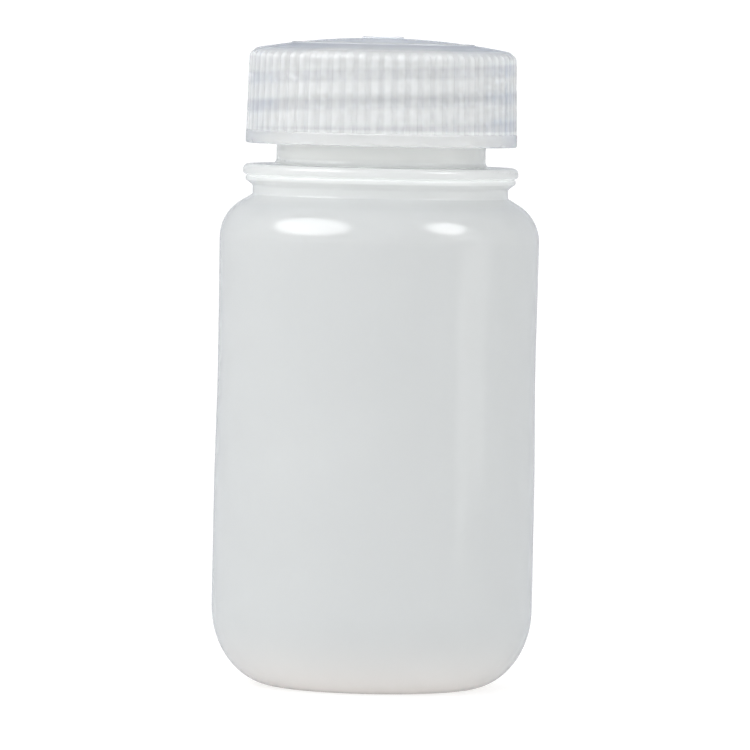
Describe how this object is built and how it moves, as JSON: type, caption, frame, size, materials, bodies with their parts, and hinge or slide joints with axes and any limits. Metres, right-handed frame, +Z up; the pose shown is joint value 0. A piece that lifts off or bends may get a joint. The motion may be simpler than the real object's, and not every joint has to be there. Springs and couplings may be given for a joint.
{
  "type": "reagent bottle",
  "caption": "Small wide-mouth laboratory bottle in milky translucent plastic, with a straight round body, a collared neck and a ribbed screw cap over a sealing liner.",
  "frame": {"origin": "centre of the base, in the plane the bottle stands on", "axes": "+Z up along the bottle's axis through the cap; -Y is the front, +X is to the right of someone facing it"},
  "size_m": [0.051, 0.051, 0.1033],
  "materials": {
    "natural_polyethylene": "soft satin, milky translucent",
    "natural_polypropylene": "semi-gloss, hazy translucent",
    "liner_foam": "matte white"
  },
  "bodies": {
    "bottle": {"bottle": "natural_polyethylene"},
    "liner": {"seal_liner": "liner_foam"},
    "cap": {"screw_cap": "natural_polypropylene"}
  },
  "joints": [
    {"name": "cap_lift", "type": "slide", "parent": "bottle", "child": "liner", "axis": [0, 0, 1], "range_m": [0, 0.01575]},
    {"name": "cap_turn", "type": "hinge", "parent": "liner", "child": "cap", "pos_m": [0, 0, 0.0945], "axis": [0, 0, 1], "range_deg": [0, 1260]}
  ],
  "couplings": [
    {"joint": "cap_lift", "follows": "cap_turn", "m_per_rad": 0.0007162}
  ]
}
